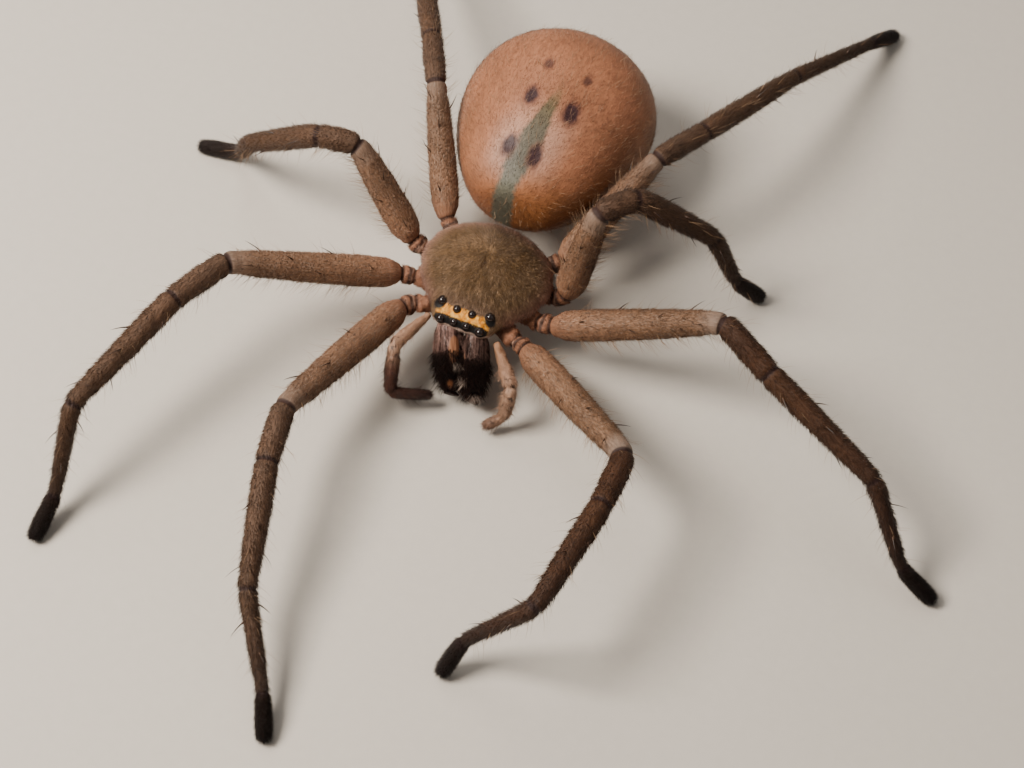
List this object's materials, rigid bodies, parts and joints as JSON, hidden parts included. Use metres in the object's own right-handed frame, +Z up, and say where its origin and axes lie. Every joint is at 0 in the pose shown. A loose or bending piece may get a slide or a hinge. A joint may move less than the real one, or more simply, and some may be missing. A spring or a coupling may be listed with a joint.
{
  "type": "huntsman spider",
  "caption": "Life-size still model of a huntsman spider on spread, spined legs, with a flat front body, rows of dark eyes, large jaws and a full egg-shaped abdomen.",
  "frame": {"origin": "middle of the whole animal's box, on the floor that the feet stand on", "axes": "+Z up, -Y the way the head points, +X the spider's own left"},
  "size_m": [0.086, 0.104, 0.0183],
  "materials": {
    "carapace": "short dense grey-brown hair",
    "sternum": "pale brown, fine hair",
    "abdomen": "tan, soft, fine hair, satin",
    "jaws": "dark red-brown, glossy under grey hair",
    "fangs": "black-brown, polished",
    "eyes": "black, wet gloss",
    "palps": "pale tan with dark dots, fine hair",
    "coxae": "pinkish tan, fine hair",
    "femora": "grey tan, fine hair",
    "tibiae": "brown, fine hair",
    "feet": "dark brown, velvety"
  },
  "bodies": {
    "root": {"abdomen": "abdomen", "carapace": "carapace", "chelicera_left": "jaws", "chelicera_right": "jaws", "eye_front_middle_left": "eyes", "eye_front_middle_right": "eyes", "eye_front_side_left": "eyes", "eye_front_side_right": "eyes", "eye_rear_middle_left": "eyes", "eye_rear_middle_right": "eyes", "eye_rear_side_left": "eyes", "eye_rear_side_right": "eyes", "fang_left": "fangs", "fang_right": "fangs", "leg_left_1_coxa": "coxae", "leg_left_1_femur": "femora", "leg_left_1_foot": "feet", "leg_left_1_tibia": "tibiae", "leg_left_2_coxa": "coxae", "leg_left_2_femur": "femora", "leg_left_2_foot": "feet", "leg_left_2_tibia": "tibiae", "leg_left_3_coxa": "coxae", "leg_left_3_femur": "femora", "leg_left_3_foot": "feet", "leg_left_3_tibia": "tibiae", "leg_left_4_coxa": "coxae", "leg_left_4_femur": "femora", "leg_left_4_foot": "feet", "leg_left_4_tibia": "tibiae", "leg_right_1_coxa": "coxae", "leg_right_1_femur": "femora", "leg_right_1_foot": "feet", "leg_right_1_tibia": "tibiae", "leg_right_2_coxa": "coxae", "leg_right_2_femur": "femora", "leg_right_2_foot": "feet", "leg_right_2_tibia": "tibiae", "leg_right_3_coxa": "coxae", "leg_right_3_femur": "femora", "leg_right_3_foot": "feet", "leg_right_3_tibia": "tibiae", "leg_right_4_coxa": "coxae", "leg_right_4_femur": "femora", "leg_right_4_foot": "feet", "leg_right_4_tibia": "tibiae", "maxilla_left": "palps", "maxilla_right": "palps", "palp_left_femur": "palps", "palp_left_tarsus": "palps", "palp_left_tibia": "palps", "palp_right_femur": "palps", "palp_right_tarsus": "palps", "palp_right_tibia": "palps", "pedicel": "sternum", "spinnerets": "abdomen", "sternum": "sternum"}
  },
  "joints": []
}
